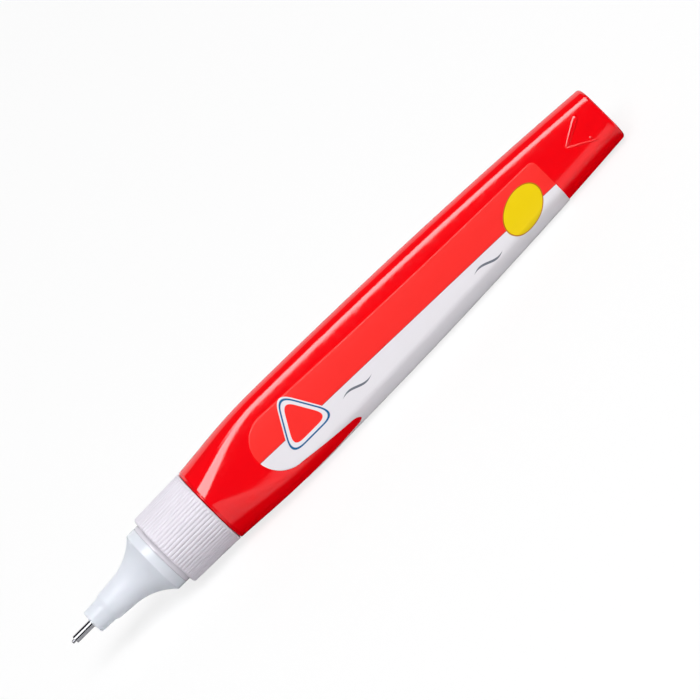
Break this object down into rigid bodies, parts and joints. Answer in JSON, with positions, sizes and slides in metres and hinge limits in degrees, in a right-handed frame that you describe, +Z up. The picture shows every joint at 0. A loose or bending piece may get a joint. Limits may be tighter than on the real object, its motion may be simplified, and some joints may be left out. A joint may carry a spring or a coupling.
{
  "type": "correction pen",
  "caption": "Correction-fluid pen with a rounded triangular squeeze barrel, a wrapped label, a ribbed screw collar, a flared nose and a sprung needle-valve tip.",
  "frame": {"origin": "on the pen's axis, at the rear end of the nose's cylindrical shoulder, which a cap grips", "axes": "+X along the pen from the tip to the rear end, +Z up with the pen lying on one flat and the opposite corner on top, -Y towards the viewer of the picture, on whose side the label is"},
  "size_m": [0.135, 0.0183, 0.0181],
  "materials": {
    "barrel_plastic": "glossy red blow-moulded plastic",
    "label_film": "printed film, satin",
    "collar_plastic": "moulded white plastic",
    "nose_plastic": "moulded white plastic, slightly translucent",
    "gasket_rubber": "soft matte",
    "tube_metal": "polished",
    "pin_metal": "ground",
    "valve_plastic": "moulded",
    "spring_wire": "drawn wire",
    "ball_metal": "polished"
  },
  "bodies": {
    "barrel": {"squeeze_barrel": "barrel_plastic", "wrap_label": "label_film"},
    "nozzle": {"nozzle_cone": "nose_plastic", "neck_gasket": "gasket_rubber", "tip_tube": "tube_metal", "valve_spring": "spring_wire", "spring_retainer": "valve_plastic"},
    "collar": {"ribbed_collar": "collar_plastic"},
    "valve": {"valve_pin": "pin_metal", "valve_plunger": "valve_plastic"},
    "ball": {"mixing_ball": "ball_metal"}
  },
  "joints": [
    {"name": "head_lift", "type": "slide", "parent": "barrel", "child": "nozzle", "axis": [-1, 0, 0], "range_m": [0, 0.006]},
    {"name": "collar_turn", "type": "hinge", "parent": "nozzle", "child": "collar", "pos_m": [0, 0, 0], "axis": [-1, 0, 0], "range_deg": [0, 720]},
    {"name": "valve_press", "type": "slide", "parent": "nozzle", "child": "valve", "axis": [1, 0, 0], "range_m": [0, 0.0006], "stiffness_N_per_m": 300, "springref_m": -0.001, "deforming": ["valve_spring"]},
    {"name": "ball_run", "type": "slide", "parent": "barrel", "child": "ball", "axis": [-0.9998, 0, -0.0181], "range_m": [0, 0.0923]}
  ],
  "couplings": [
    {"joint": "collar_turn", "follows": "head_lift", "rad_per_m": 2094.4}
  ]
}
